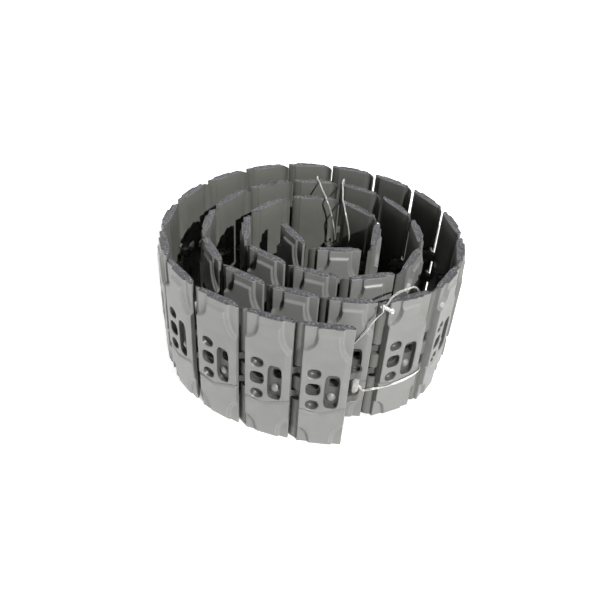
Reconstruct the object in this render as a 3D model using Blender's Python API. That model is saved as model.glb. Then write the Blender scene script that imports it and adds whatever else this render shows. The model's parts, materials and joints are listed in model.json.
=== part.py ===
"""Rolled-up steel crawler track: one-piece cast shoes pinned end to end.

The chain stands on the ends of its shoes, so every hinge axis is vertical.
Shoe 1 is the free outer end and the last shoe is in the middle of the roll.
Run with: blender --background --python part.py
"""
import math

import bmesh
import bpy
from mathutils import Matrix, Vector

# ---- driving dimensions, metres and degrees -------------------------------
SHOES = 39            # shoes in the chain
WIDTH = 0.400         # track width, which is the roll's height
PITCH = 0.135         # distance between neighbouring hinge axes
DEPTH = 0.042         # ground face above the hinge axes' plane
PLATE = 0.028         # thickness of the plate
BODY = 0.117          # length of the plate along the chain
SHIFT = -0.0058       # the plate's middle, from half way between the axes
PIN_R = 0.0095        # hinge pin radius
BORE_R = 0.0106       # bore for the pin
LUG_R = 0.0158        # outside of the lugs and knuckles
LIP_OUT = 0.0220      # outside of the curved lip round the next hinge axis
LIP_IN = 0.0172       # inside of that lip
RELIEF = 0.0100       # depth of the corner reliefs in the ground face
LOOSE_PINS = 17       # hinges from the free end whose pin is its own piece

# Levels up the shoe, as fractions of the width
LUG_LOW = (0.379, 0.433)
LUG_HIGH = (0.577, 0.631)
WINDOW_LOW = (0.360, 0.450)
WINDOW_HIGH = (0.560, 0.650)
KNUCKLE = (0.450, 0.560)
PIN_SPAN = (0.378, 0.632)

# ---- the roll's plan -------------------------------------------------------
CENTRE = (0.0, 0.0)
TURN_RADII = (0.380, 0.271, 0.171, 0.077)   # hinge circle of each turn
FLATTEN = 0.025                             # how far the turns are from round
STEPS_AT = (6.14, 12.43, 18.23)             # where the chain steps inwards, rad
STEP_WIDTHS = (1.38, 1.07, 1.18)            # how long each step takes, rad
START_AT = -0.086                           # the free end, rad
START_SIDE = -75.0                          # direction of angle 0, degrees
END_OPEN = (6.3, 5.9)                       # outermost two hinges opened, degrees

GREY = (0.27, 0.27, 0.25)
STEEL = (0.42, 0.41, 0.39)
ZINC = (0.62, 0.61, 0.58)


# ---- scene helpers ----------------------------------------------------------
def clear_scene():
    for obj in list(bpy.data.objects):
        bpy.data.objects.remove(obj, do_unlink=True)


def collection(name):
    group = bpy.data.collections.new(name)
    bpy.context.scene.collection.children.link(group)
    return group


def material(name, colour, roughness, metallic):
    mat = bpy.data.materials.new(name)
    mat.use_nodes = True
    bsdf = mat.node_tree.nodes["Principled BSDF"]
    bsdf.inputs["Base Color"].default_value = (*colour, 1.0)
    bsdf.inputs["Roughness"].default_value = roughness
    bsdf.inputs["Metallic"].default_value = metallic
    return mat


def as_guide(obj):
    """A cutter or a blank: kept in the file, left out of the part."""
    obj.hide_render = True
    obj.display_type = "WIRE"


def evaluated_mesh(obj, name):
    bpy.context.view_layer.update()
    graph = bpy.context.evaluated_depsgraph_get()
    mesh = bpy.data.meshes.new_from_object(obj.evaluated_get(graph))
    mesh.name = name
    return mesh


def prism(name, points, low, high):
    """A closed flat outline in X and Y, raised from low to high along Z."""
    curve = bpy.data.curves.new(name, "CURVE")
    curve.dimensions = "2D"
    curve.fill_mode = "BOTH"
    curve.extrude = (high - low) / 2
    line = curve.splines.new("POLY")
    line.points.add(len(points) - 1)
    for point, (x, y) in zip(line.points, points):
        point.co = (x, y, 0.0, 1.0)
    line.use_cyclic_u = True
    flat = bpy.data.objects.new(name, curve)
    GUIDES.objects.link(flat)
    mesh = evaluated_mesh(flat, name)
    bpy.data.objects.remove(flat, do_unlink=True)
    work = bmesh.new()
    work.from_mesh(mesh)
    bmesh.ops.remove_doubles(work, verts=work.verts, dist=0.00001)
    bmesh.ops.translate(work, verts=work.verts, vec=(0, 0, (low + high) / 2))
    bmesh.ops.recalc_face_normals(work, faces=work.faces)
    work.to_mesh(mesh)
    work.free()
    obj = bpy.data.objects.new(name, mesh)
    GUIDES.objects.link(obj)
    as_guide(obj)
    return obj


def prism_out(name, points, low, high):
    """The same, with an outline in X and Z raised along Y."""
    obj = prism(name, [(x, -z) for x, z in points], low, high)
    obj.data.transform(Matrix.Rotation(math.radians(-90), 4, "X"))
    return obj


def rod(name, x, y, radius, low, high, sides=8):
    mesh = bpy.data.meshes.new(name)
    work = bmesh.new()
    bmesh.ops.create_cone(work, cap_ends=True, segments=sides, radius1=radius,
                          radius2=radius, depth=high - low)
    bmesh.ops.translate(work, verts=work.verts, vec=(x, y, (low + high) / 2))
    work.to_mesh(mesh)
    work.free()
    return bpy.data.objects.new(name, mesh)


def guide_rod(name, x, y, radius, low, high, sides=8):
    obj = rod(name, x, y, radius, low, high, sides)
    GUIDES.objects.link(obj)
    as_guide(obj)
    return obj


def combine(target, other, operation):
    step = target.modifiers.new(operation.lower() + "_" + other.name, "BOOLEAN")
    step.operation = operation
    step.solver = "EXACT"
    step.object = other


def arc(cx, radius, start, end, steps):
    """Points round (cx, 0), from one angle in degrees to another."""
    points = []
    for i in range(steps + 1):
        a = math.radians(start + (end - start) * i / steps)
        points.append((cx + radius * math.cos(a), radius * math.sin(a)))
    return points


# ---- one shoe ----------------------------------------------------------------
# X runs along the chain towards the roll's middle, Y is outwards and Z is up.
# The hinge axes are at X = -PITCH / 2 and X = PITCH / 2, Y = 0.
AXIS = PITCH / 2
NEAR = -BODY / 2 - SHIFT      # plate's edge on the free end's side
FAR = BODY / 2 - SHIFT        # plate's edge on the other side
BACK = DEPTH - PLATE          # the plate's inner face


def plate_outline():
    """The plate's section, with the curved lip that covers the next hinge."""
    points = [(NEAR + 0.022, BACK), (AXIS - 0.010, BACK)]
    points += arc(AXIS, LIP_IN, 92, 28, 2)
    points += arc(AXIS, LIP_OUT, 28, 98, 3)
    points += [(FAR, LIP_OUT), (FAR, DEPTH), (NEAR, DEPTH)]
    points += [(NEAR, BACK + 0.010), (NEAR + 0.007, BACK + 0.003)]
    return points


def lug_outline():
    """A lug on the near edge, with its web up to the plate."""
    points = arc(-AXIS, LUG_R, 90, 270, 3)
    points += [(-0.028, BACK + 0.004), (NEAR + 0.002, BACK + 0.0115)]
    return points


def knuckle_outline():
    """A knuckle on the far edge, with its web up to the plate."""
    points = arc(AXIS, LUG_R, -90, 72, 3)
    points += [(0.058, BACK + 0.010), (0.028, BACK + 0.004)]
    return points


def hole_outline(cx, cz, width, height):
    points = []
    for i in range(6):
        a = math.radians(60 * i)
        points.append((cx + width / 2 * math.cos(a), cz + height / 2 * math.sin(a)))
    return points


def relief_outline(edge, inner, end, level, cut):
    """A corner relief, whose inner corner is cut off."""
    side = 1 if inner > edge else -1
    rise = 1 if level > end else -1
    out, over = edge - 0.01 * side, end - 0.01 * rise
    return [(out, over), (inner, over), (inner, level + cut * rise), (out, level)]


def cut_reliefs(blank, name):
    """The four lower corners of the ground face, deeper at the near edge."""
    for inner, end, level, edge in ((FAR - 0.034, 1.0, 0.820, FAR),
                                    (NEAR + 0.033, 1.0, 0.745, NEAR),
                                    (FAR - 0.034, 0.0, 0.165, FAR),
                                    (NEAR + 0.033, 0.0, 0.225, NEAR)):
        points = relief_outline(edge, inner, end * WIDTH, level * WIDTH, 0.012)
        cut = prism_out(name + "_relief", points, DEPTH - RELIEF, DEPTH + 0.01)
        combine(blank, cut, "DIFFERENCE")


def cut_pockets(blank, name):
    """The column of holes, of which only the middle one goes through, and the slot."""
    column = FAR - 0.080 * WIDTH
    through, blind = BACK - 0.01, DEPTH - 0.0145
    for cx, cz, wide, tall, floor in ((column, 0.645, 0.034, 0.030, blind),
                                      (column, 0.512, 0.037, 0.042, through),
                                      (column, 0.378, 0.035, 0.035, blind),
                                      (FAR - 0.205 * WIDTH, 0.562, 0.024, 0.027, through)):
        cut = prism_out(name + "_hole", hole_outline(cx, cz * WIDTH, wide, tall),
                        floor, DEPTH + 0.01)
        combine(blank, cut, "DIFFERENCE")
    slot = FAR - 0.197 * WIDTH
    cut = prism_out(name + "_slot", hole_outline(slot, 0.5 * WIDTH, 0.042, 0.122),
                    DEPTH - 0.014, DEPTH + 0.01)
    combine(blank, cut, "DIFFERENCE")


def shoe_mesh(name, pinned):
    """The whole casting; pinned keeps its hinge pin fast in the far knuckle.

    The pinned castings lie inside the roll, so their ground faces are left plain.
    """
    blank = prism(name, plate_outline(), 0.0, WIDTH)
    for low, high in (LUG_LOW, LUG_HIGH):
        part = prism(name + "_lug", lug_outline(), low * WIDTH, high * WIDTH)
        combine(blank, part, "UNION")
    for low, high in (WINDOW_LOW, WINDOW_HIGH):
        cut = prism(name + "_window", [(FAR + 0.0017, 0.0), (0.12, 0.0),
                    (0.12, 0.03), (FAR + 0.0017, 0.03)], low * WIDTH, high * WIDTH)
        combine(blank, cut, "DIFFERENCE")
    for low, high in (KNUCKLE,):
        part = prism(name + "_knuckle", knuckle_outline(), low * WIDTH, high * WIDTH)
        combine(blank, part, "UNION")
    if not pinned:
        cut_reliefs(blank, name)
        cut_pockets(blank, name)
    low, high = PIN_SPAN[0] * WIDTH, PIN_SPAN[1] * WIDTH
    combine(blank, guide_rod(name + "_bore", -AXIS, 0, BORE_R, low - 0.01, high + 0.01),
            "DIFFERENCE")
    if pinned:
        combine(blank, guide_rod(name + "_pin", AXIS, 0, PIN_R - 0.0005, low + 0.001,
                                 high - 0.001, 6), "UNION")
    else:
        combine(blank, guide_rod(name + "_bore", AXIS, 0, BORE_R, low - 0.01, high + 0.01),
                "DIFFERENCE")
    return evaluated_mesh(blank, name)


# ---- the roll's plan ----------------------------------------------------------
def ease(value):
    value = min(max(value, 0.0), 1.0)
    return value * value * (3 - 2 * value)


def spiral(angle):
    """A point of the roll's middle line, at an angle gone round clockwise."""
    radius = TURN_RADII[0]
    for i in range(3):
        gone = ease((angle - STEPS_AT[i]) / STEP_WIDTHS[i] + 0.5)
        radius += (TURN_RADII[i + 1] - TURN_RADII[i]) * gone
    radius *= 1 - FLATTEN * math.cos(2 * angle - 0.09)
    side = math.radians(START_SIDE) - angle
    return Vector((CENTRE[0] + radius * math.cos(side),
                   CENTRE[1] + radius * math.sin(side)))


def hinge_points():
    """The hinge axes in plan: equal chords stepped along the spiral."""
    angle = START_AT
    points = [spiral(angle)]
    for _ in range(SHOES):
        near, far = angle, angle + 0.1
        while (spiral(far) - points[-1]).length < PITCH:
            near, far = far, far + 0.1
        for _ in range(40):
            half = (near + far) / 2
            if (spiral(half) - points[-1]).length < PITCH:
                near = half
            else:
                far = half
        angle = (near + far) / 2
        points.append(spiral(angle))
    for last, opened in enumerate(END_OPEN, start=1):
        turn = Matrix.Rotation(math.radians(-opened), 2)
        for i in range(last):
            points[i] = points[last] + turn @ (points[i] - points[last])
    return points


def placements(mesh):
    """Each shoe's frame, with the roll centred over the origin."""
    points = hinge_points()
    frames = []
    for i in range(SHOES):
        along = (points[i + 1] - points[i]).normalized()
        out = Vector((-along.y, along.x))
        middle = (points[i] + points[i + 1]) / 2
        frame = Matrix(((along.x, out.x, 0, middle.x), (along.y, out.y, 0, middle.y),
                        (0, 0, 1, 0), (0, 0, 0, 1)))
        frames.append(frame)
    xs, ys = [], []
    for frame in frames:
        for vertex in mesh.vertices:
            spot = frame @ vertex.co
            xs.append(spot.x)
            ys.append(spot.y)
    shift = Matrix.Translation((-(min(xs) + max(xs)) / 2, -(min(ys) + max(ys)) / 2, 0))
    return [shift @ frame for frame in frames]


# ---- wires ------------------------------------------------------------------
def smooth_route(points, per_span):
    """Points of a Catmull-Rom curve through the route's own points."""
    ends = [points[0] * 2 - points[1]] + points + [points[-1] * 2 - points[-2]]
    route = []
    for i in range(1, len(ends) - 2):
        a, b, c, d = ends[i - 1:i + 3]
        for j in range(per_span):
            t = j / per_span
            route.append(0.5 * (2 * b + (c - a) * t + (2 * a - 5 * b + 4 * c - d) * t * t
                                + (3 * b - a - 3 * c + d) * t ** 3))
    return route + [points[-1].copy()]


def wire(name, points, radius, per_span):
    route = smooth_route(points, per_span)
    curve = bpy.data.curves.new(name, "CURVE")
    curve.dimensions = "3D"
    curve.bevel_depth = radius
    curve.bevel_resolution = 2
    curve.use_fill_caps = True
    line = curve.splines.new("POLY")
    line.points.add(len(route) - 1)
    for point, spot in zip(line.points, route):
        point.co = (*spot, 1.0)
    obj = bpy.data.objects.new(name, curve)
    obj.data.materials.append(material(name + "_zinc", ZINC, 0.35, 0.9))
    TRACK.objects.link(obj)
    return obj


def tie_route(frames):
    """From the twist over shoe 18, round the end pin, round shoe 17 and back."""
    def at(shoe, x, y, z):
        return frames[shoe - 1] @ Vector((x, y, z * WIDTH))
    top = 1.0 + 0.0035 / WIDTH
    return [at(17, 0.0916, 0.0400, 0.992), at(18, -0.0645, 0.0500, 0.972),
            at(18, -0.0556, 0.0490, 0.934), at(18, -0.0458, 0.0480, 0.892),
            at(18, -0.0326, 0.0468, 0.815), at(18, -0.0160, 0.0470, 0.746),
            at(18, -0.0070, 0.0480, 0.706), at(18, 0.0040, 0.0500, 0.672),
            at(1, -0.040, -0.0200, 0.600), at(1, -0.052, -0.0165, 0.530),
            at(1, -0.069, -0.0140, 0.482), at(1, -0.085, -0.0060, 0.456),
            at(18, -0.0428, 0.0615, 0.334), at(18, -0.0710, 0.0600, 0.352),
            at(17, 0.0502, 0.0480, 0.316), at(17, 0.0156, 0.0466, 0.315),
            at(17, -0.0180, 0.0466, 0.331), at(17, -0.0460, 0.0464, 0.356),
            at(17, -0.0590, 0.0400, 0.3690), at(17, -0.0605, 0.0260, 0.3695),
            at(17, -0.0605, 0.0060, 0.3695), at(17, -0.0560, -0.0140, 0.3700),
            at(17, -0.0450, -0.0120, 0.420), at(17, -0.0430, -0.0120, 0.620),
            at(17, -0.0420, -0.0060, 0.820), at(17, -0.0380, -0.0020, 0.950),
            at(17, -0.0260, -0.0010, 0.998), at(17, -0.0137, -0.0005, top),
            at(17, 0.0083, 0.0023, top), at(17, 0.0311, 0.0067, top),
            at(17, 0.0500, 0.0150, top), at(17, 0.0620, 0.0225, top),
            at(17, 0.0800, 0.0370, 1.002)]


def thin_routes(frames):
    def at(shoe, x, y, z):
        return frames[shoe - 1] @ Vector((x, y, z * WIDTH))
    top = 1.0 + 0.0040 / WIDTH
    first = [at(25, 0.0205, 0.0470, 0.800), at(25, 0.0206, 0.0460, 0.992),
             at(25, 0.0210, 0.0395, 1.009), at(25, 0.0219, 0.0253, top),
             at(25, 0.0266, 0.0016, top), at(25, 0.0323, -0.0380, top),
             at(35, 0.0444, 0.0220, top), at(35, 0.0467, 0.0010, 1.007),
             at(35, 0.0505, -0.0050, 0.991), at(35, 0.0602, -0.0050, 0.924),
             at(36, -0.0617, -0.0050, 0.853), at(36, -0.0530, -0.0050, 0.775),
             at(36, -0.0492, -0.0055, 0.689), at(36, -0.0484, -0.0065, 0.609),
             at(36, -0.0484, -0.0080, 0.575)]
    second = [at(26, -0.0500, 0.0470, 0.800), at(26, -0.0500, 0.0475, 0.990),
              at(26, -0.0496, 0.0380, 1.010), at(26, -0.0419, 0.0150, top),
              at(26, -0.0268, -0.0185, top), at(36, -0.0787, 0.0555, top),
              at(36, -0.0490, 0.0200, top), at(36, -0.0298, 0.0026, top),
              at(36, -0.0051, -0.0200, 0.991), at(36, 0.0061, -0.0200, 0.919),
              at(36, 0.0137, -0.0200, 0.859), at(36, 0.0177, -0.0200, 0.803),
              at(36, 0.0166, -0.0200, 0.714), at(36, 0.0150, -0.0200, 0.560)]
    return first, second


# ---- the track ------------------------------------------------------------------
def add_shoes(frames, plain, pinned, last):
    for i, frame in enumerate(frames, start=1):
        source = plain if i <= LOOSE_PINS else pinned
        if i == SHOES:
            source = last
        mesh = source.copy()
        mesh.materials.clear()
        name = "shoe_%02d" % i
        mesh.materials.append(material(name + "_paint", GREY, 0.5, 0.15))
        obj = bpy.data.objects.new(name, mesh)
        obj.matrix_world = frame
        TRACK.objects.link(obj)


def add_pins(frames):
    low, high = PIN_SPAN[0] * WIDTH + 0.001, PIN_SPAN[1] * WIDTH - 0.001
    for i in range(1, LOOSE_PINS + 1):
        name = "hinge_pin_%02d" % i
        pin = rod(name, 0, 0, PIN_R, low, high)
        pin.data.materials.append(material(name + "_steel", STEEL, 0.35, 0.9))
        pin.matrix_world = frames[i - 1] @ Matrix.Translation((AXIS, 0, 0))
        TRACK.objects.link(pin)
    pin = rod("end_pin", 0, 0, PIN_R, low + 0.012, 0.605 * WIDTH)
    pin.data.materials.append(material("end_pin_steel", STEEL, 0.35, 0.9))
    pin.matrix_world = frames[0] @ Matrix.Translation((-AXIS, 0, 0))
    TRACK.objects.link(pin)


def add_wires(frames):
    wire("tie_wire", tie_route(frames), 0.0021, 2)
    first, second = thin_routes(frames)
    wire("thin_wire_left", first, 0.0013, 2)
    wire("thin_wire_right", second, 0.0013, 2)


clear_scene()
TRACK = collection("crawler_track_roll")
GUIDES = collection("cutters")
PLAIN = shoe_mesh("shoe", False)
PINNED = shoe_mesh("shoe_pinned", True)
FRAMES = placements(PLAIN)
add_shoes(FRAMES, PLAIN, PINNED, PLAIN)
add_pins(FRAMES)
add_wires(FRAMES)
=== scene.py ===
"""Looks of the rolled-up steel crawler track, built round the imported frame.

Every cast shoe, hinge pin and wire is one piece. A shoe is modelled once, in
its own frame, and then placed between its two hinge axes, which come from the
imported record. Sizes are in metres, and levels are shares of the shoe's width.
"""
import json
import math

import bmesh
import bpy
from mathutils import Matrix, Vector, noise


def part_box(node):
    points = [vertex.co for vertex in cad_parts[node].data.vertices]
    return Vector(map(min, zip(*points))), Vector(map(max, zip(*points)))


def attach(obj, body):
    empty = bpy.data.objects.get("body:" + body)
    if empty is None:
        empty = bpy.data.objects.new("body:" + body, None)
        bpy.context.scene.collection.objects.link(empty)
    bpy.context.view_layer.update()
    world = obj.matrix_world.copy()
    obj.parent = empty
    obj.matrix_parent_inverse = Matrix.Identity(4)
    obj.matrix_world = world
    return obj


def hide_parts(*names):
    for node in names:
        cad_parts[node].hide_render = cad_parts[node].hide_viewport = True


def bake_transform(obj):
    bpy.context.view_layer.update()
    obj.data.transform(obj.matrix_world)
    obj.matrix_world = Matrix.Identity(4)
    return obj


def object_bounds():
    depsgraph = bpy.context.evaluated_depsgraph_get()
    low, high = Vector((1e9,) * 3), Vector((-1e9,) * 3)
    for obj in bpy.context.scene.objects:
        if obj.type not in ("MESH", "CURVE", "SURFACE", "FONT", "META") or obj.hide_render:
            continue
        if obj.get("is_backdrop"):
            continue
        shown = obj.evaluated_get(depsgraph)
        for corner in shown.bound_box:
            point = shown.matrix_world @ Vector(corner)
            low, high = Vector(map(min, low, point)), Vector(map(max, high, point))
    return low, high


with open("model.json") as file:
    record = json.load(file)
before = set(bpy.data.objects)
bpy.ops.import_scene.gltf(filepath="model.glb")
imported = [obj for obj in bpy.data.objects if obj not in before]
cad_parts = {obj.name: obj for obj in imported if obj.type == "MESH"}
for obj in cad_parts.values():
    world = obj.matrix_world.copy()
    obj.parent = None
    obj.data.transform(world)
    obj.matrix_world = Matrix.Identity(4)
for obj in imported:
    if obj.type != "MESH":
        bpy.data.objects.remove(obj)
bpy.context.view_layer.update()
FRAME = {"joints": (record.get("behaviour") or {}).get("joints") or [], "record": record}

# ---- the shoe's sizes, as in the part's source ------------------------------
SHOES = 39
WIDTH = 0.400         # the shoe's length up the roll
PITCH = 0.135         # between neighbouring hinge axes
DEPTH = 0.042         # ground face above the hinge axes' plane
PLATE = 0.028
BODY = 0.117
SHIFT = -0.0058
PIN_R = 0.0095
BORE_R = 0.0106
LUG_R = 0.0158
LIP_OUT = 0.0220
LIP_IN = 0.0172
LIP_LEAN = 0.011      # how far the lip's corners are cut back at the shoe's ends
LUGS = ((0.379, 0.433), (0.577, 0.631))
WINDOWS = ((0.360, 0.450), (0.560, 0.650))
KNUCKLE = (0.450, 0.560)
PIN_SPAN = (0.378, 0.632)
LOOSE_PINS = 17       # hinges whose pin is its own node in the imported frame

AXIS = PITCH / 2
NEAR = -BODY / 2 - SHIFT      # plate's edge on the free end's side
FAR = BODY / 2 - SHIFT        # plate's edge on the other side
BACK = DEPTH - PLATE          # the plate's inner face
ACROSS = BODY / WIDTH         # the plate's span, in widths

# Material slots of a shoe's mesh: paint, cut ends, and two darker copies of the paint that are
# painted shade
PAINT_SLOT, CUT_SLOT, INSIDE_SHADE_SLOT, RECESS_SHADE_SLOT = range(4)

# ---- the ground face, in widths: u from the far edge, w up the shoe ----------
RELIEF = 0.0265       # how deep the corner reliefs go
FAR_WALL = 0.0145     # how far the far reliefs' steep walls run
NEAR_WALL = 0.0340    # and the near ones', which step down twice
LOWER = 0.0060        # drop of the plain lower part
CREASE = 0.0100       # and of the crease above it, as well
END_FROM = 0.934      # where the ground face steps down to the upper end
END_RUN = 0.020
END_DROP = 0.013
EDGE_R = 0.006        # rounding along the plate's long edges
END_R = 0.0035        # and along its ends

# Outlines of the four corner reliefs and the crease's line, as (u, w) points
TOP_FAR = ((-0.10, 1.10), (0.087, 1.10), (0.087, 0.925), (0.080, 0.884), (0.060, 0.850),
           (0.030, 0.830), (-0.10, 0.800))
TOP_NEAR = ((0.40, 1.10), (0.203, 1.10), (0.203, 0.900), (0.211, 0.850), (0.230, 0.802),
            (0.258, 0.765), (0.300, 0.735), (0.40, 0.690))
LOW_FAR = ((-0.10, -0.10), (0.090, -0.10), (0.086, 0.030), (0.066, 0.110),
           (0.030, 0.152), (-0.10, 0.205))
LOW_NEAR = ((0.40, -0.10), (0.200, -0.10), (0.208, 0.100), (0.232, 0.160),
            (0.266, 0.210), (0.40, 0.270))
RIDGE = ((-0.10, 0.352), (0.0, 0.345), (0.040, 0.334), (0.100, 0.316), (0.125, 0.316),
         (0.200, 0.345), (0.262, 0.372), (0.40, 0.392))


def ease(value):
    value = min(max(value, 0.0), 1.0)
    return value * value * (3 - 2 * value)


def slope(value):
    """From 0 to 1 in a straight slope, rounded only at its two ends."""
    value, r = min(max(value, 0.0), 1.0), 0.22
    if value > 0.5:
        return 1 - slope(1 - value) if value < 1 else 1.0
    rise = value * value / (2 * r) if value < r else value - r / 2
    return rise * 0.5 / (0.5 - r / 2)


def depth_inside(u, w, corners):
    """Distance from an outline's edge, positive inside it."""
    best, inside = 1.0, False
    for i, (ax, ay) in enumerate(corners):
        bx, by = corners[i - 1]
        ex, ey = bx - ax, by - ay
        t = ((u - ax) * ex + (w - ay) * ey) / (ex * ex + ey * ey)
        t = min(max(t, 0.0), 1.0)
        best = min(best, math.hypot(u - ax - ex * t, w - ay - ey * t))
        if (ay > w) != (by > w) and u < ax + ex * (w - ay) / ey:
            inside = not inside
    return best if inside else -best


def rounded(edge, radius):
    """How far a rounded edge falls away, at a distance inside it."""
    if edge >= radius:
        return 0.0
    return radius - math.sqrt(radius ** 2 - (radius - edge) ** 2)


def ridge_level(u):
    for (ax, ay), (bx, by) in zip(RIDGE, RIDGE[1:]):
        if u <= bx:
            return ay + (by - ay) * (u - ax) / (bx - ax)
    return RIDGE[-1][1]


def ground_drop(u, w):
    """How far the ground face lies below its highest level, in widths."""
    below = ridge_level(u) - w
    drop = (LOWER + CREASE * (1 - slope((below - 0.017) / 0.020))) * slope(below / 0.005)
    for corners in (TOP_FAR, LOW_FAR):
        drop += (RELIEF - drop) * slope(depth_inside(u, w, corners) / FAR_WALL)
    for corners in (TOP_NEAR, LOW_NEAR):
        gone = depth_inside(u, w, corners) / NEAR_WALL
        stepped = 0.5 * slope(gone / 0.40) + 0.5 * slope((gone - 0.56) / 0.44)
        drop += (RELIEF - drop) * stepped
    margin = u - (ACROSS - 0.036)
    if margin > 0 and 0.36 < w < 0.80:
        steep = 0.30 if w > 0.605 else 0.16
        blend = ease((w - 0.366) / 0.012) * ease((0.80 - w) / 0.06)
        drop = max(drop, margin * steep * blend)
    drop = max(drop, END_DROP * slope((w - END_FROM) / END_RUN))
    drop = max(drop, LOWER * (w < 0.3) + 0.010 * slope((0.030 - w) / 0.030))
    for edge, radius in ((u, EDGE_R), (ACROSS - u, EDGE_R), (w, END_R), (1.0 - w, END_R)):
        drop += rounded(edge, radius)
    return drop


def spaced(low, high, step):
    """Even levels from low to high, both ends left out."""
    count = max(int(round((high - low) / step)), 1)
    return [low + (high - low) * i / count for i in range(1, count)]


def edge_levels(span):
    """Fine levels for the rounding at both ends of a span."""
    near = [0.0, 0.0006, 0.0022, 0.0048]
    return near, [span - v for v in reversed(near)]


def arc(cx, radius, start, end, steps):
    """Points round (cx, 0), from one angle in degrees to another."""
    points = []
    for i in range(steps + 1):
        a = math.radians(start + (end - start) * i / steps)
        points.append((cx + radius * math.cos(a), radius * math.sin(a)))
    return points


# ---- meshes -------------------------------------------------------------------
HELPERS = []          # blanks and cutters waiting to be removed


def mesh_of(work, name, *materials):
    bmesh.ops.recalc_face_normals(work, faces=work.faces)
    mesh = bpy.data.meshes.new(name)
    work.to_mesh(mesh)
    work.free()
    for mat in materials or (PAINT,):
        mesh.materials.append(mat)
    return mesh


def bridge(work, rings):
    """Quads between each closed ring of vertices and the next."""
    for lower, upper in zip(rings, rings[1:]):
        for i in range(len(lower)):
            j = (i + 1) % len(lower)
            work.faces.new((lower[i], lower[j], upper[j], upper[i]))


def bridge_and_cap(work, rings):
    bridge(work, rings)
    work.faces.new(rings[0])
    work.faces.new(rings[-1])


def circle_points(radius, sides):
    for i in range(sides):
        angle = 2 * math.pi * i / sides
        yield radius * math.cos(angle), radius * math.sin(angle)


def plate_mesh():
    """The plate with its lip, as rows of one closed section stacked up the shoe."""
    low_u, high_u = edge_levels(ACROSS)
    columns = low_u + spaced(0.0048, ACROSS - 0.0048, 0.0046) + high_u
    low_w, high_w = edge_levels(1.0)
    rows = low_w + spaced(0.0048, 0.300, 0.0050)
    rows += spaced(0.2955, 0.400, 0.0030)       # finest where the crease runs
    rows += spaced(0.396, 0.700, 0.038)
    rows += spaced(0.694, 0.9952, 0.0050) + high_w
    lip = arc(AXIS, LIP_OUT, 98, 34, 6) + [(AXIS + 0.0192, 0.0094)]
    inner_lip = arc(AXIS, LIP_IN, 96, 32, 6) + [(AXIS + 0.0156, 0.0084)]
    lip = inner_lip + list(reversed(lip))
    tip = len(lip) // 2 - 1
    near_back = [(NEAR + 0.0225, BACK + 0.0002), (NEAR + 0.0215, BACK + 0.0014),
                 (NEAR + 0.008, BACK + 0.0035), (NEAR + 0.001, BACK + 0.0100),
                 (NEAR, BACK + 0.0112)]
    work = bmesh.new()
    rings = []
    for w in rows:
        z = w * WIDTH
        end = min(w, 1 - w) * WIDTH
        back = BACK + rounded(end, 0.0014)
        ring = []
        for u in columns:                       # far edge to near edge
            ring.append((FAR - u * WIDTH, DEPTH - ground_drop(u, w) * WIDTH, z))
        ring += [(x, y, z) for x, y in reversed(near_back)]
        ring += [(x, back, z) for x in (-0.02, 0.02, 0.050)]
        ring += [(0.0585, back + 0.0002, z)]
        for i, (x, y) in enumerate(lip):
            out = min(i, len(lip) - 1 - i) / tip        # 0 at the plate, 1 at the tip
            lean = LIP_LEAN * out * (1 - min(end / LIP_LEAN, 1.0))
            ring.append((x, y, z + (lean if w < 0.5 else -lean)))
        rings.append([work.verts.new(p) for p in ring])
    bridge(work, rings)
    for ring in (rings[0], rings[-1]):
        cap = work.faces.new(ring)
        cap.material_index = CUT_SLOT
    edges = [e for e in work.edges
             if all(f.material_index == PAINT_SLOT for f in e.link_faces)]
    bmesh.ops.dissolve_limit(work, angle_limit=math.radians(0.6), edges=edges,
                             verts=[], use_dissolve_boundaries=False)
    return mesh_of(work, "plate", PAINT, CUT, INSIDE_SHADE, RECESS_SHADE)


def solid_of(points, low, high, name, round_by=0.0):
    """A closed outline in X and Y raised from low to high, its ends rounded."""
    work = bmesh.new()
    bottom = [work.verts.new((x, y, low)) for x, y in points]
    top = [work.verts.new((x, y, high)) for x, y in points]
    work.faces.new(bottom)
    work.faces.new(top)
    for i in range(len(points)):
        j = (i + 1) % len(points)
        work.faces.new((bottom[i], bottom[j], top[j], top[i]))
    bmesh.ops.recalc_face_normals(work, faces=work.faces)
    if round_by:
        rims = [e for e in work.edges if abs(e.verts[0].co.z - e.verts[1].co.z) < 1e-6]
        bmesh.ops.bevel(work, geom=rims, offset=round_by, segments=2,
                        affect="EDGES", profile=0.5)
    return mesh_of(work, name)


def sunk_solid(cx, cz, wide, tall, square, levels, name, sides=28):
    """A pocket's cutter: rings of a rounded outline at depths (y, size)."""
    work = bmesh.new()
    rings = []
    for y, size in levels:
        ring = []
        for i in range(sides):
            a = 2 * math.pi * i / sides
            c, s = math.cos(a), math.sin(a)
            reach = (abs(c) ** square + abs(s) ** square) ** (-1 / square)
            ring.append(work.verts.new((cx + wide / 2 * size * c * reach, y,
                                        cz + tall / 2 * size * s * reach)))
        rings.append(ring)
    bridge_and_cap(work, rings)
    # The pocket's sunken faces get the darkest paint: painted shade in the recess
    for face in work.faces:
        if max(vertex.co.y for vertex in face.verts) < DEPTH - 0.0010:
            face.material_index = RECESS_SHADE_SLOT
    return mesh_of(work, name, PAINT, CUT, INSIDE_SHADE, RECESS_SHADE)


def object_of(mesh, name, helper=False):
    obj = bpy.data.objects.new(name, mesh)
    bpy.context.scene.collection.objects.link(obj)
    if helper:
        HELPERS.append(obj)
    return obj


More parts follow.
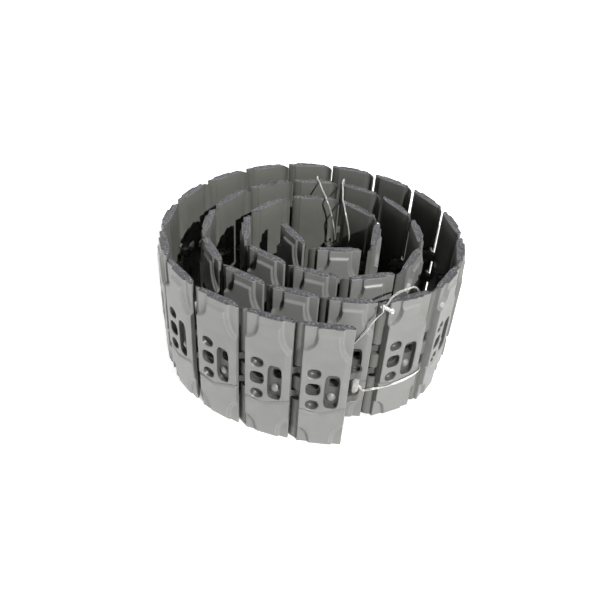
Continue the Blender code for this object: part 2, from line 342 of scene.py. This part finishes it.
def combined(mesh, others, operation):
    """mesh after one exact boolean with every mesh of others."""
    obj = object_of(mesh, "blank", helper=True)
    for other in others:
        step = obj.modifiers.new("step", "BOOLEAN")
        step.operation, step.solver = operation, "EXACT"
        step.object = object_of(other, "tool", helper=True)
    bpy.context.view_layer.update()
    graph = bpy.context.evaluated_depsgraph_get()
    made = bpy.data.meshes.new_from_object(obj.evaluated_get(graph))
    for helper in HELPERS:
        bpy.data.objects.remove(helper, do_unlink=True)
    HELPERS.clear()
    return made


# ---- one shoe -------------------------------------------------------------------
def lug_meshes():
    outline = arc(-AXIS, LUG_R, 78, 282, 14)
    outline += [(-0.040, BACK - 0.004), (-0.026, BACK + 0.004), (NEAR + 0.003, BACK + 0.0115)]
    return [solid_of(outline, low * WIDTH, high * WIDTH, "lug", 0.0014)
            for low, high in LUGS]


def knuckle_mesh():
    outline = arc(AXIS, LUG_R, -100, 66, 12)
    outline += [(0.058, BACK + 0.010), (0.026, BACK + 0.004), (0.040, BACK - 0.004)]
    low, high = KNUCKLE
    return solid_of(outline, low * WIDTH, high * WIDTH, "knuckle", 0.0014)


def window_meshes():
    outline = [(FAR + 0.0022, -0.004), (0.12, -0.004), (0.12, 0.03), (FAR + 0.0022, 0.03)]
    return [solid_of(outline, low * WIDTH, high * WIDTH, "window")
            for low, high in WINDOWS]


def bore_meshes():
    low, high = PIN_SPAN[0] * WIDTH - 0.01, PIN_SPAN[1] * WIDTH + 0.01
    return [solid_of(arc(x, BORE_R, 0, 345, 23), low, high, "bore") for x in (-AXIS, AXIS)]


def pocket_meshes():
    """The column of three holes, and the slot with its window."""
    column = FAR - 0.078 * WIDTH
    over, top = DEPTH + 0.006, DEPTH
    dished = ((over, 1.42), (top, 1.14), (top - 0.0018, 1.0), (top - 0.011, 0.86),
              (top - 0.0145, 0.62))
    cutters = [sunk_solid(column, 0.645 * WIDTH, 0.0335, 0.0300, 2.3, dished, "hole_top"),
               sunk_solid(column, 0.378 * WIDTH, 0.0335, 0.0320, 2.1, dished, "hole_low"),
               sunk_solid(column, 0.512 * WIDTH, 0.0365, 0.0400, 3.4,
                          ((over, 1.36), (top, 1.12), (top - 0.0018, 1.0),
                           (top - 0.013, 0.94)), "hole_middle"),
               sunk_solid(column, 0.521 * WIDTH, 0.0290, 0.0270, 3.0,
                          ((top - 0.010, 1.0), (BACK - 0.01, 0.9)), "hole_through"),
               sunk_solid(FAR - 0.194 * WIDTH, 0.503 * WIDTH, 0.0365, 0.1130, 4.6,
                          ((over, 1.22), (top, 1.06), (top - 0.0015, 1.0),
                           (top - 0.0125, 0.95)), "slot", 44),
               sunk_solid(FAR - 0.203 * WIDTH, 0.563 * WIDTH, 0.0235, 0.0290, 4.5,
                          ((top - 0.008, 1.0), (BACK - 0.01, 1.0)), "slot_window")]
    return cutters


def boss_mesh():
    """The round head at the bottom of the slot."""
    cx, cz = FAR - 0.193 * WIDTH, 0.440 * WIDTH
    work = bmesh.new()
    rings = []
    for sunk, radius in ((0.0150, 0.0135), (0.0098, 0.0118), (0.0062, 0.0082),
                         (0.0046, 0.0060), (0.0040, 0.0030)):
        rings.append([work.verts.new((cx + x, DEPTH - sunk, cz + z))
                      for x, z in circle_points(radius, 24)])
    bridge_and_cap(work, rings)
    return mesh_of(work, "boss")


def shoe_mesh():
    """The whole casting: the windows are cut before the knuckle goes in between them."""
    mesh = combined(plate_mesh(), lug_meshes(), "UNION")
    mesh = combined(mesh, window_meshes(), "DIFFERENCE")
    mesh = combined(mesh, [knuckle_mesh()], "UNION")
    mesh = combined(mesh, pocket_meshes(), "DIFFERENCE")
    mesh = combined(mesh, [boss_mesh()], "UNION")
    return combined(mesh, bore_meshes(), "DIFFERENCE")


def rough_ends(mesh, seed):
    """Uneven flame-cut ends: the cut edges wander a little, no two alike."""
    reach, broad, close = 0.0009, 90, 420       # metres, and waves per metre
    for vertex in mesh.vertices:
        end = min(vertex.co.z, WIDTH - vertex.co.z)
        if end < reach:
            spot = Vector((vertex.co.x * broad, vertex.co.y * broad, seed * 7.3 + vertex.co.z))
            fine = Vector((vertex.co.x * close, vertex.co.y * close, seed * 3.1))
            chip = 0.0012 - 0.0014 * noise.noise(spot) - 0.0010 * noise.noise(fine)
            chip = max(chip, 0.0)
            vertex.co.z += chip if vertex.co.z < WIDTH / 2 else -chip
            vertex.co.y += 0.0007 * noise.noise(fine + Vector((5, 5, 5)))


def shoe_frames():
    """Each shoe's frame, half way between its two hinge axes."""
    joints = sorted(FRAME["joints"], key=lambda joint: joint["name"])
    axes = [Vector(joint["pos_m"][:2]) for joint in joints]
    low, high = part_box("end_pin")
    axes.insert(0, ((low + high) / 2).xy)
    inner = next(m for m in FRAME["record"]["mounts"] if m["name"] == "inner_end_face")
    outwards = -Vector(inner["axis"][:2]).normalized()
    axes.append(axes[-1] + Vector((outwards.y, -outwards.x)) * PITCH)
    frames = []
    for a, b in zip(axes, axes[1:]):
        along = (b - a).normalized()
        middle = (a + b) / 2
        frames.append(Matrix(((along.x, -along.y, 0, middle.x),
                              (along.y, along.x, 0, middle.y),
                              (0, 0, 1, 0), (0, 0, 0, 1))))
    return frames


# ---- materials ------------------------------------------------------------------
def new_material(name, colour, roughness, metallic=0.0):
    mat = bpy.data.materials.new(name)
    mat.use_nodes = True
    bsdf = mat.node_tree.nodes["Principled BSDF"]
    bsdf.inputs["Base Color"].default_value = (*colour, 1.0)
    bsdf.inputs["Roughness"].default_value = roughness
    bsdf.inputs["Metallic"].default_value = metallic
    return mat, mat.node_tree.nodes, mat.node_tree.links, bsdf


def noise_node(nodes, links, coords, scale, detail=4.0, rough=0.55):
    node = nodes.new("ShaderNodeTexNoise")
    node.inputs["Scale"].default_value = scale
    node.inputs["Detail"].default_value = detail
    node.inputs["Roughness"].default_value = rough
    links.new(coords, node.inputs["Vector"])
    return node


def ramp_node(nodes, links, factor, stops):
    ramp = nodes.new("ShaderNodeValToRGB")
    while len(ramp.color_ramp.elements) < len(stops):
        ramp.color_ramp.elements.new(0.5)
    for element, (place, colour) in zip(ramp.color_ramp.elements, stops):
        element.position = place
        element.color = (*colour, 1.0)
    links.new(factor, ramp.inputs["Fac"])
    return ramp


def bump_node(nodes, links, height, distance, strength, below=None):
    bump = nodes.new("ShaderNodeBump")
    bump.inputs["Distance"].default_value = distance
    bump.inputs["Strength"].default_value = strength
    links.new(height, bump.inputs["Height"])
    if below is not None:
        links.new(below.outputs["Normal"], bump.inputs["Normal"])
    return bump


def paint_material(name, shade):
    """Satin grey paint over a sand-cast skin."""
    mat, nodes, links, bsdf = new_material(name, shade, 0.45)
    coords = nodes.new("ShaderNodeTexCoord").outputs["Object"]
    broad = noise_node(nodes, links, coords, 9.0, 5.0)
    colour = ramp_node(nodes, links, broad.outputs["Fac"],
                       ((0.30, tuple(0.86 * c for c in shade)), (0.52, shade),
                        (0.75, tuple(1.13 * c for c in shade))))
    links.new(colour.outputs["Color"], bsdf.inputs["Base Color"])
    grain = noise_node(nodes, links, coords, 420.0, 6.0, 0.6)
    rough = ramp_node(nodes, links, grain.outputs["Fac"],
                      ((0.3, (0.34, 0.34, 0.34)), (0.7, (0.52, 0.52, 0.52))))
    links.new(rough.outputs["Color"], bsdf.inputs["Roughness"])
    dents = noise_node(nodes, links, coords, 38.0, 3.0)
    soft = bump_node(nodes, links, dents.outputs["Fac"], 0.0022, 0.30)
    skin = bump_node(nodes, links, grain.outputs["Fac"], 0.0004, 0.35, soft)
    links.new(skin.outputs["Normal"], bsdf.inputs["Normal"])
    return mat


def cut_material():
    """The rough cut ends: dark scale with bright torn specks."""
    mat, nodes, links, bsdf = new_material("rough_cut_end", (0.1, 0.1, 0.12), 0.5, 0.3)
    coords = nodes.new("ShaderNodeTexCoord").outputs["Object"]
    broad = noise_node(nodes, links, coords, 75.0, 6.0, 0.65)
    fine = noise_node(nodes, links, coords, 170.0, 8.0, 0.72)
    colour = ramp_node(nodes, links, fine.outputs["Fac"],
                       ((0.34, (0.045, 0.046, 0.052)), (0.49, (0.095, 0.097, 0.106)),
                        (0.58, (0.175, 0.175, 0.178)), (0.67, (0.60, 0.59, 0.56))))
    links.new(colour.outputs["Color"], bsdf.inputs["Base Color"])
    rough = ramp_node(nodes, links, fine.outputs["Fac"],
                      ((0.35, (0.35, 0.35, 0.35)), (0.65, (0.70, 0.70, 0.70))))
    links.new(rough.outputs["Color"], bsdf.inputs["Roughness"])
    torn = bump_node(nodes, links, broad.outputs["Fac"], 0.0040, 0.8)
    bump = bump_node(nodes, links, fine.outputs["Fac"], 0.0012, 0.8, torn)
    links.new(bump.outputs["Normal"], bsdf.inputs["Normal"])
    return mat


def bare_material(name, colour, roughness, metallic, scale):
    """Bare metal with a drawn or turned grain."""
    mat, nodes, links, bsdf = new_material(name, colour, roughness, metallic)
    coords = nodes.new("ShaderNodeTexCoord").outputs["Object"]
    grain = noise_node(nodes, links, coords, scale, 5.0, 0.6)
    dark = tuple(0.62 * c for c in colour)
    tint = ramp_node(nodes, links, grain.outputs["Fac"], ((0.35, dark), (0.65, colour)))
    links.new(tint.outputs["Color"], bsdf.inputs["Base Color"])
    rough = ramp_node(nodes, links, grain.outputs["Fac"],
                      ((0.3, (roughness * 0.75,) * 3), (0.7, (roughness * 1.35,) * 3)))
    links.new(rough.outputs["Color"], bsdf.inputs["Roughness"])
    bump = bump_node(nodes, links, grain.outputs["Fac"], 0.0003, 0.4)
    links.new(bump.outputs["Normal"], bsdf.inputs["Normal"])
    return mat


# ---- pins -----------------------------------------------------------------------
def turned_mesh(name, profile, material, sides=28):
    """A turned solid round Z, from (radius, z) pairs."""
    work = bmesh.new()
    rings = []
    for radius, z in profile:
        rings.append([work.verts.new((x, y, z)) for x, y in circle_points(radius, sides)])
    bridge_and_cap(work, rings)
    return mesh_of(work, name, material)


def pin_profile(low, high):
    edge = 0.0015
    return ((PIN_R - edge, low), (PIN_R, low + edge), (PIN_R, high - edge),
            (PIN_R - edge, high))


# ---- wires, by the same route points as the part's source --------------------------
def smooth_route(points, per_span):
    """Points of a Catmull-Rom curve through the route's own points."""
    ends = [points[0] * 2 - points[1]] + points + [points[-1] * 2 - points[-2]]
    route = []
    for i in range(1, len(ends) - 2):
        a, b, c, d = ends[i - 1:i + 3]
        for j in range(per_span):
            t = j / per_span
            route.append(0.5 * (2 * b + (c - a) * t + (2 * a - 5 * b + 4 * c - d) * t * t
                                + (3 * b - a - 3 * c + d) * t ** 3))
    return route + [points[-1].copy()]


def strand(name, route, radius, material):
    """A round wire along a route, made into a mesh."""
    curve = bpy.data.curves.new(name, "CURVE")
    curve.dimensions = "3D"
    curve.bevel_depth = radius
    curve.bevel_resolution = 3
    curve.use_fill_caps = True
    line = curve.splines.new("POLY")
    line.points.add(len(route) - 1)
    for point, spot in zip(line.points, route):
        point.co = (*spot, 1.0)
    line.use_smooth = True
    curve.materials.append(material)
    tube = object_of(curve, "tube")
    bpy.context.view_layer.update()
    graph = bpy.context.evaluated_depsgraph_get()
    mesh = bpy.data.meshes.new_from_object(tube.evaluated_get(graph))
    bpy.data.objects.remove(tube, do_unlink=True)
    return object_of(mesh, name)


def across_hinge(obj):
    """Bakes the wire's placement into its mesh."""
    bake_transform(obj)


def twisted(route, offset, turn_length, phase):
    """A route's companion: the same way, turning round it at an offset."""
    made, gone = [], 0.0
    side = Vector((0, 0, 1))
    for i, spot in enumerate(route):
        ahead = route[min(i + 1, len(route) - 1)] - route[max(i - 1, 0)]
        ahead.normalize()
        side = side - ahead * side.dot(ahead)
        side = side.normalized() if side.length > 1e-6 else ahead.orthogonal()
        if i:
            gone += (spot - route[i - 1]).length
        turn = Matrix.Rotation(2 * math.pi * gone / turn_length + phase, 3, ahead)
        made.append(spot + turn @ side * offset)
    return made


def shoe_point(frames, shoe, x, y, z):
    return frames[shoe - 1] @ Vector((x, y, z * WIDTH))


def tie_points(frames):
    def at(shoe, x, y, z):
        return shoe_point(frames, shoe, x, y, z)
    top = 1.0 + 0.0035 / WIDTH
    return [at(17, 0.0916, 0.0400, 0.992), at(18, -0.0645, 0.0500, 0.972),
            at(18, -0.0556, 0.0490, 0.934), at(18, -0.0458, 0.0480, 0.892),
            at(18, -0.0326, 0.0468, 0.815), at(18, -0.0160, 0.0470, 0.746),
            at(18, -0.0070, 0.0480, 0.706), at(18, 0.0040, 0.0500, 0.672),
            at(1, -0.040, -0.0200, 0.600), at(1, -0.052, -0.0165, 0.530),
            at(1, -0.069, -0.0140, 0.482), at(1, -0.085, -0.0060, 0.456),
            at(18, -0.0428, 0.0615, 0.334), at(18, -0.0710, 0.0600, 0.352),
            at(17, 0.0502, 0.0480, 0.316), at(17, 0.0156, 0.0466, 0.315),
            at(17, -0.0180, 0.0466, 0.331), at(17, -0.0460, 0.0464, 0.356),
            at(17, -0.0590, 0.0400, 0.3690), at(17, -0.0605, 0.0260, 0.3695),
            at(17, -0.0605, 0.0060, 0.3695), at(17, -0.0560, -0.0140, 0.3700),
            at(17, -0.0450, -0.0120, 0.420), at(17, -0.0430, -0.0120, 0.620),
            at(17, -0.0420, -0.0060, 0.820), at(17, -0.0380, -0.0020, 0.950),
            at(17, -0.0260, -0.0010, 0.998), at(17, -0.0137, -0.0005, top),
            at(17, 0.0083, 0.0023, top), at(17, 0.0311, 0.0067, top),
            at(17, 0.0500, 0.0150, top), at(17, 0.0620, 0.0225, top),
            at(17, 0.0800, 0.0370, 1.002)]


def thin_points(frames):
    def at(shoe, x, y, z):
        return shoe_point(frames, shoe, x, y, z)
    top = 1.0 + 0.0040 / WIDTH
    first = [at(25, 0.0205, 0.0470, 0.800), at(25, 0.0206, 0.0460, 0.992),
             at(25, 0.0210, 0.0395, 1.009), at(25, 0.0219, 0.0253, top),
             at(25, 0.0266, 0.0016, top), at(25, 0.0323, -0.0380, top),
             at(35, 0.0444, 0.0220, top), at(35, 0.0467, 0.0010, 1.007),
             at(35, 0.0505, -0.0050, 0.991), at(35, 0.0602, -0.0050, 0.924),
             at(36, -0.0617, -0.0050, 0.853), at(36, -0.0530, -0.0050, 0.775),
             at(36, -0.0492, -0.0055, 0.689), at(36, -0.0484, -0.0065, 0.609),
             at(36, -0.0484, -0.0080, 0.575)]
    second = [at(26, -0.0500, 0.0470, 0.800), at(26, -0.0500, 0.0475, 0.990),
              at(26, -0.0496, 0.0380, 1.010), at(26, -0.0419, 0.0150, top),
              at(26, -0.0268, -0.0185, top), at(36, -0.0787, 0.0555, top),
              at(36, -0.0490, 0.0200, top), at(36, -0.0298, 0.0026, top),
              at(36, -0.0051, -0.0200, 0.991), at(36, 0.0061, -0.0200, 0.919),
              at(36, 0.0137, -0.0200, 0.859), at(36, 0.0177, -0.0200, 0.803),
              at(36, 0.0166, -0.0200, 0.714), at(36, 0.0150, -0.0200, 0.560)]
    return first, second


# ---- pieces -------------------------------------------------------------------
def weighted(obj):
    """Faces shade flat and their rounded edges shade smooth."""
    step = obj.modifiers.new("even_shading", "WEIGHTED_NORMAL")
    step.keep_sharp = True
    step.weight = 80


def inner_side(mesh):
    """Gives the hinge edges, the crease and the faces towards the middle painted shade: darker
    copies of the paint where little light reaches.
    """
    for face in mesh.polygons:
        x, y, z = face.center
        if face.material_index != PAINT_SLOT:
            continue
        below = ridge_level((FAR - x) / WIDTH) - z / WIDTH
        # Painted shade: the hinge lugs and the crease below the ridge get the darkest paint
        if x < NEAR - 0.0005 or (y > DEPTH - 0.010 and 0.001 < below < 0.0185):
            face.material_index = RECESS_SHADE_SLOT
        # Painted shade: the lips in the grooves and the faces towards the roll's middle get
        # the darker inside paint
        elif x > FAR + 0.0005 or face.normal.y < -0.30:
            face.material_index = INSIDE_SHADE_SLOT


def smooth_faces(mesh, angle):
    mesh.polygons.foreach_set("use_smooth", [True] * len(mesh.polygons))
    mesh.set_sharp_from_angle(angle=math.radians(angle))


def add_shoes(frames):
    blank = shoe_mesh()
    inner_side(blank)
    smooth_faces(blank, 38)
    for i, place in enumerate(frames, start=1):
        mesh = blank.copy()
        rough_ends(mesh, i)
        obj = object_of(mesh, "cast_shoe_%02d" % i)
        weighted(obj)
        obj.matrix_world = place
        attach(obj, "link_%02d" % i)
        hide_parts("shoe_%02d" % i)


def add_pins(frames, steel):
    low, high = PIN_SPAN[0] * WIDTH + 0.001, PIN_SPAN[1] * WIDTH - 0.001
    mesh = turned_mesh("pin", pin_profile(low, high), steel)
    smooth_faces(mesh, 30)
    for i in range(1, SHOES):
        obj = object_of(mesh.copy(), "steel_pin_%02d" % i)
        obj.matrix_world = frames[i - 1] @ Matrix.Translation((AXIS, 0, 0))
        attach(obj, "link_%02d" % i)
        if i <= LOOSE_PINS:
            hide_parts("hinge_pin_%02d" % i)


def add_end_pin(frames, steel):
    """The joining pin in the free end, with its collar between the lugs."""
    low = PIN_SPAN[0] * WIDTH - 0.003
    top = 0.605 * WIDTH
    profile = ((0.0125, low), (0.0140, low + 0.001), (0.0140, low + 0.0035),
               (PIN_R, low + 0.0045), (PIN_R, 0.447 * WIDTH), (0.0118, 0.449 * WIDTH),
               (0.0122, 0.453 * WIDTH), (0.0122, 0.548 * WIDTH), (0.0112, 0.553 * WIDTH),
               (PIN_R, 0.555 * WIDTH), (PIN_R, top - 0.0015), (PIN_R - 0.0015, top))
    mesh = turned_mesh("joining_pin", profile, steel, 36)
    smooth_faces(mesh, 30)
    obj = object_of(mesh, "joining_pin")
    obj.matrix_world = frames[0] @ Matrix.Translation((-AXIS, 0, 0))
    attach(obj, "link_01")
    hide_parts("end_pin")


def add_tie(frames, zinc):
    route = smooth_route(tie_points(frames), 8)
    for name, phase in (("tie_strand_a", 0.0), ("tie_strand_b", math.pi)):
        obj = strand(name, twisted(route, 0.00165, 0.22, phase), 0.00135, zinc)
        across_hinge(obj)
        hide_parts("tie_wire")


def add_knot(frames, zinc):
    """The ends twisted together, and cut off with a short hook."""
    start = shoe_point(frames, 17, 0.0940, 0.0390, 1.012)
    end = shoe_point(frames, 17, 0.0690, 0.0430, 0.962)
    steps = 60
    axis = [start + (end - start) * (i / steps) for i in range(steps + 1)]
    out = (end - start).normalized()
    away = Vector((0.1, -0.8, 0.6))
    for name, phase in (("tie_twist_a", 0.0), ("tie_twist_b", math.pi)):
        route = twisted(axis, 0.0034, 0.0115, phase)
        if phase:
            route += [route[-1] + out * 0.003 + away * 0.002 * i for i in range(1, 4)]
        else:
            route += small_loop(route[-1], out)
        obj = strand(name, route, 0.0022, zinc)
        across_hinge(obj)


def small_loop(start, out):
    """A cut end bent round into a loop of 9 mm."""
    up = Vector((0, 0, 1))
    middle = start + out * 0.0050
    return [middle - out * 0.0048 * math.cos(a) + up * 0.0048 * math.sin(a)
            for a in (math.radians(25 * i) for i in range(1, 13))]


def add_thin_wires(frames, zinc):
    for side, points in zip(("left", "right"), thin_points(frames)):
        obj = strand("thin_strand_" + side, smooth_route(points, 10), 0.0021, zinc)
        if side == "right":
            across_hinge(obj)
        else:
            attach(obj, "link_25")
        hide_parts("thin_wire_" + side)


# ---- camera, light and floor -----------------------------------------------------
CAMERA_AT = (-0.0238, -1.5564, 1.3694)
CAMERA_DOWN = 37.98   # degrees below level
CAMERA_ROLL = 3.913   # degrees
LENS = 39.63          # mm, on a sensor 36 mm wide


def add_camera():
    pitch, roll = math.radians(CAMERA_DOWN), math.radians(CAMERA_ROLL)
    right = Vector((1, 0, 0))
    up = Vector((0, math.sin(pitch), math.cos(pitch)))
    forward = Vector((0, math.cos(pitch), -math.sin(pitch)))
    x_axis = right * math.cos(roll) + up * math.sin(roll)
    y_axis = up * math.cos(roll) - right * math.sin(roll)
    data = bpy.data.cameras.new("camera")
    data.lens, data.sensor_width = LENS, 36.0
    camera = bpy.data.objects.new("camera", data)
    turn = Matrix((x_axis, y_axis, -forward)).transposed().to_4x4()
    camera.matrix_world = Matrix.Translation(CAMERA_AT) @ turn
    bpy.context.scene.collection.objects.link(camera)
    bpy.context.scene.camera = camera


def add_light(name, azimuth, elevation, strength, spread):
    """A soft lamp far away; azimuth 0 is behind the camera, 90 is to the right."""
    data = bpy.data.lights.new(name, "SUN")
    data.energy, data.angle = strength, math.radians(spread)
    a, e = math.radians(azimuth), math.radians(elevation)
    back = Vector((math.sin(a) * math.cos(e), -math.cos(a) * math.cos(e), math.sin(e)))
    obj = bpy.data.objects.new(name, data)
    obj.rotation_mode = "QUATERNION"
    obj.rotation_quaternion = back.to_track_quat("Z", "Y")
    bpy.context.scene.collection.objects.link(obj)


def map_range(nodes, links, value, low, high, to_low, to_high):
    node = nodes.new("ShaderNodeMapRange")
    node.interpolation_type = "SMOOTHSTEP"
    for name, number in (("From Min", low), ("From Max", high), ("To Min", to_low),
                         ("To Max", to_high)):
        node.inputs[name].default_value = number
    links.new(value, node.inputs["Value"])
    return node.outputs["Result"]


def add_world():
    world = bpy.data.worlds.new("studio")
    bpy.context.scene.world = world
    world.use_nodes = True
    sky = world.node_tree.nodes["Background"]
    sky.inputs["Color"].default_value = (0.93, 0.95, 1.0, 1.0)
    sky.inputs["Strength"].default_value = 0.05


def floor_material():
    """Pale, glowing more towards the back left, where the roll's shadow falls, as painted
    light over that cast shadow; and without a glow under the roll.
    """
    mat, nodes, links, bsdf = new_material("pale_floor", (0.80, 0.80, 0.80), 0.9)
    bsdf.inputs["Emission Color"].default_value = (1.0, 1.0, 1.0, 1.0)
    place = nodes.new("ShaderNodeTexCoord").outputs["Object"]
    away = nodes.new("ShaderNodeVectorMath")
    away.operation = "LENGTH"
    links.new(place, away.inputs[0])
    towards_shadow = nodes.new("ShaderNodeVectorMath")
    towards_shadow.operation = "DOT_PRODUCT"
    towards_shadow.inputs[1].default_value = (-0.59, 0.81, 0.0)
    links.new(place, towards_shadow.inputs[0])
    # The glow fills the key light's cast shadow on the floor with painted light; under the
    # roll it is off
    outside = map_range(nodes, links, away.outputs["Value"], 0.37, 0.41, 0.0, 1.0)
    level = map_range(nodes, links, towards_shadow.outputs["Value"], -0.34, -0.04, 0.30, 0.80)
    glow = nodes.new("ShaderNodeMath")
    glow.operation = "MULTIPLY"
    links.new(outside, glow.inputs[0])
    links.new(level, glow.inputs[1])
    links.new(glow.outputs["Value"], bsdf.inputs["Emission Strength"])
    return mat


def add_floor():
    mesh = bpy.data.meshes.new("floor")
    half = 30.0
    mesh.from_pydata([(-half, -half, 0), (half, -half, 0), (half, half, 0),
                      (-half, half, 0)], [], [(0, 1, 2, 3)])
    floor = bpy.data.objects.new("floor", mesh)
    floor.location.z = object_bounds()[0].z
    bpy.context.scene.collection.objects.link(floor)
    floor.data.materials.append(floor_material())
    floor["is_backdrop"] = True
    return floor.location.z


def add_backdrop(low):
    """A pale wall far away, all round, which also softens the light."""
    radius, high = 28.0, 10.0
    work = bmesh.new()
    bridge(work, [[work.verts.new((x, y, z)) for x, y in circle_points(radius, 64)]
                  for z in (low, high)])
    mat, _, _, bsdf = new_material("pale_wall", (0.80, 0.80, 0.80), 0.9)
    bsdf.inputs["Emission Color"].default_value = (0.96, 0.98, 1.0, 1.0)
    bsdf.inputs["Emission Strength"].default_value = 0.80
    wall = object_of(mesh_of(work, "wall", mat), "backdrop")
    wall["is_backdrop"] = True


bpy.context.scene.view_settings.view_transform = "Standard"
PLACES = shoe_frames()
add_camera()
PAINT = paint_material("grey_cast_paint", (0.160, 0.161, 0.153))
# Darker copies of the paint, as painted shade: one for the inner faces and lips, one for
# recesses, the crease and the lugs
INSIDE_SHADE = paint_material("inside_painted_shade", (0.100, 0.100, 0.090))
RECESS_SHADE = paint_material("recess_painted_shade", (0.056, 0.056, 0.053))
CUT = cut_material()
STEEL = bare_material("turned_steel", (0.46, 0.45, 0.43), 0.34, 0.9, 140.0)
ZINC = bare_material("galvanised_wire", (0.70, 0.69, 0.66), 0.38, 0.55, 220.0)
add_shoes(PLACES)
add_pins(PLACES, STEEL)
add_end_pin(PLACES, STEEL)
add_tie(PLACES, ZINC)
add_knot(PLACES, ZINC)
add_thin_wires(PLACES, ZINC)
add_world()
add_backdrop(add_floor())
add_light("key", 38, 42, 5.3, 1.0)
